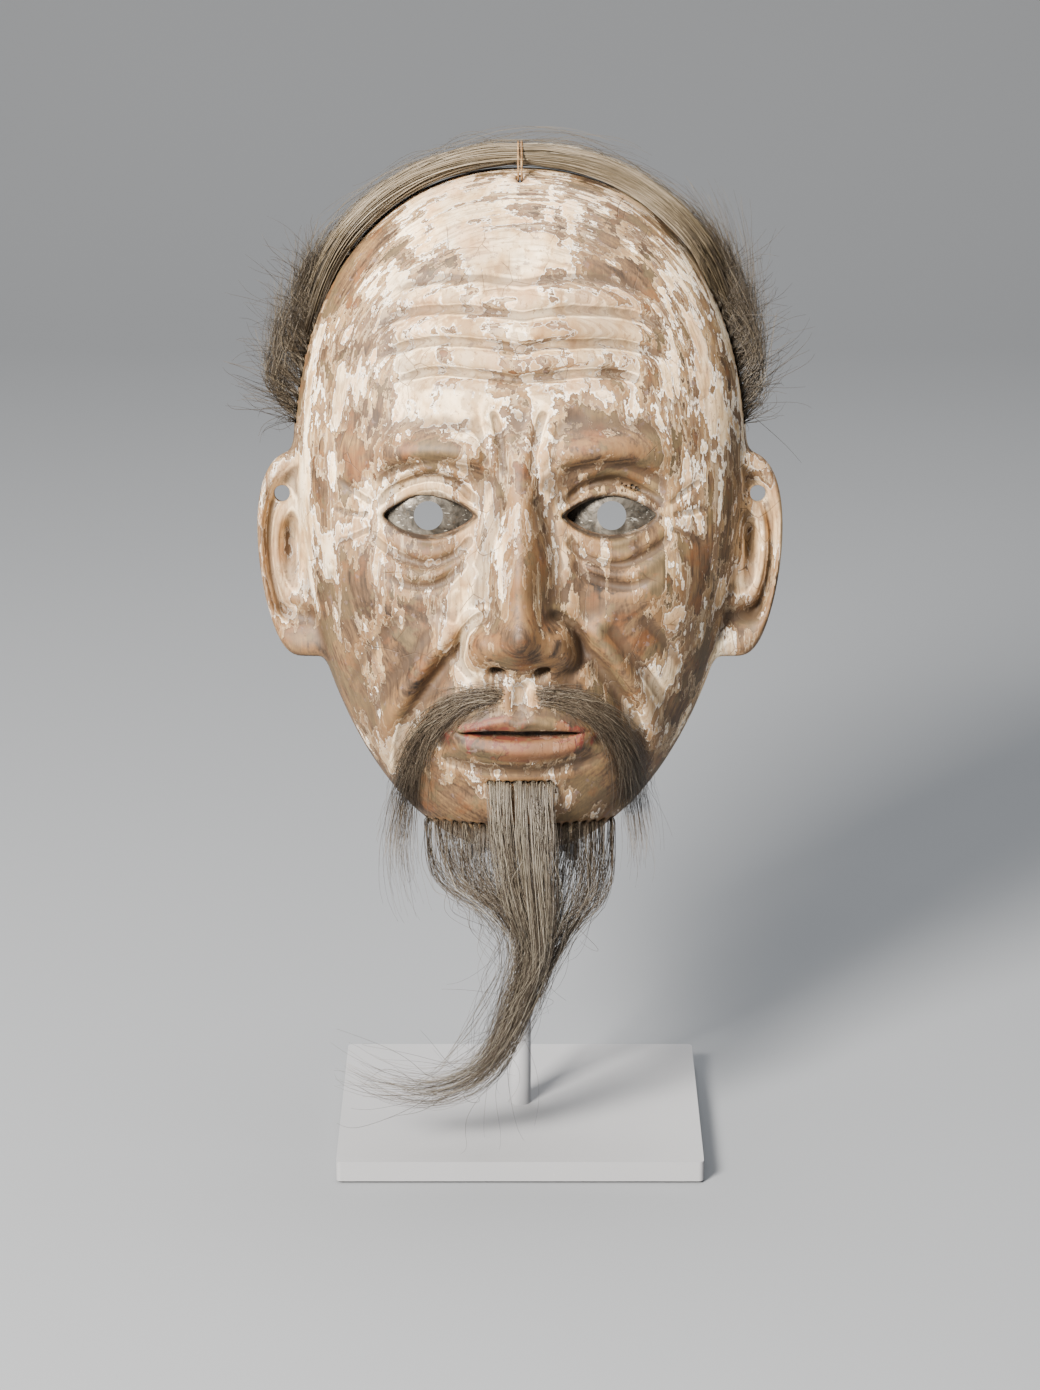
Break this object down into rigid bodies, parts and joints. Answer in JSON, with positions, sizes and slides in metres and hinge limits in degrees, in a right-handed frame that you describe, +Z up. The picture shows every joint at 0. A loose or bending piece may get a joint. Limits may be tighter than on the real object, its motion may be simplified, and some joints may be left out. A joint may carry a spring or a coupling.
{
  "type": "noh mask on display stand",
  "caption": "Carved wooden old-man noh mask with pierced eyes and planted horsehair moustache, beard and temples, resting on a post stand with a flat base.",
  "frame": {"origin": "middle of the underside of the stand's base", "axes": "+Z up, the mask faces -Y, +X to the right of someone looking at the mask's face"},
  "size_m": [0.1592, 0.0992, 0.3078],
  "materials": {
    "stand_paint": "matt white lacquer",
    "base_felt": "pressed felt",
    "pad_felt": "pressed felt",
    "sleeve_rubber": "matt",
    "screw_steel": "plain",
    "carved_wood": "carved cypress under worn shell-white paint",
    "eye_metal": "tarnished",
    "peg_wood": "raw",
    "tie_cord": "twisted cord",
    "crown_hair": "horsehair",
    "temple_hair": "horsehair",
    "moustache_hair": "horsehair",
    "beard_hair": "horsehair"
  },
  "bodies": {
    "stand": {"base_felt": "base_felt", "base_plate": "stand_paint", "post_screw": "screw_steel", "post": "stand_paint", "brow_bar": "stand_paint", "brow_pad_left": "pad_felt", "brow_pad_right": "pad_felt", "chin_cradle": "stand_paint", "cradle_sleeves": "sleeve_rubber"},
    "mask": {"mask_shell": "carved_wood", "ear_left": "carved_wood", "ear_right": "carved_wood", "eye_plate_left": "eye_metal", "eye_plate_right": "eye_metal", "crown_lock_left": "crown_hair", "crown_lock_right": "crown_hair", "crown_tie": "tie_cord", "temple_tufts_left": "temple_hair", "temple_tufts_right": "temple_hair", "temple_pegs_left": "peg_wood", "temple_pegs_right": "peg_wood", "moustache_left": "moustache_hair", "moustache_right": "moustache_hair", "lip_tufts": "beard_hair", "lip_pegs": "peg_wood", "chin_tufts": "beard_hair", "chin_pegs": "peg_wood", "beard_tail": "beard_hair"}
  },
  "joints": [
    {"name": "mask_lift", "type": "slide", "parent": "stand", "child": "mask", "axis": [0, -0.7071, 0.7071], "range_m": [0, 0.12]}
  ]
}
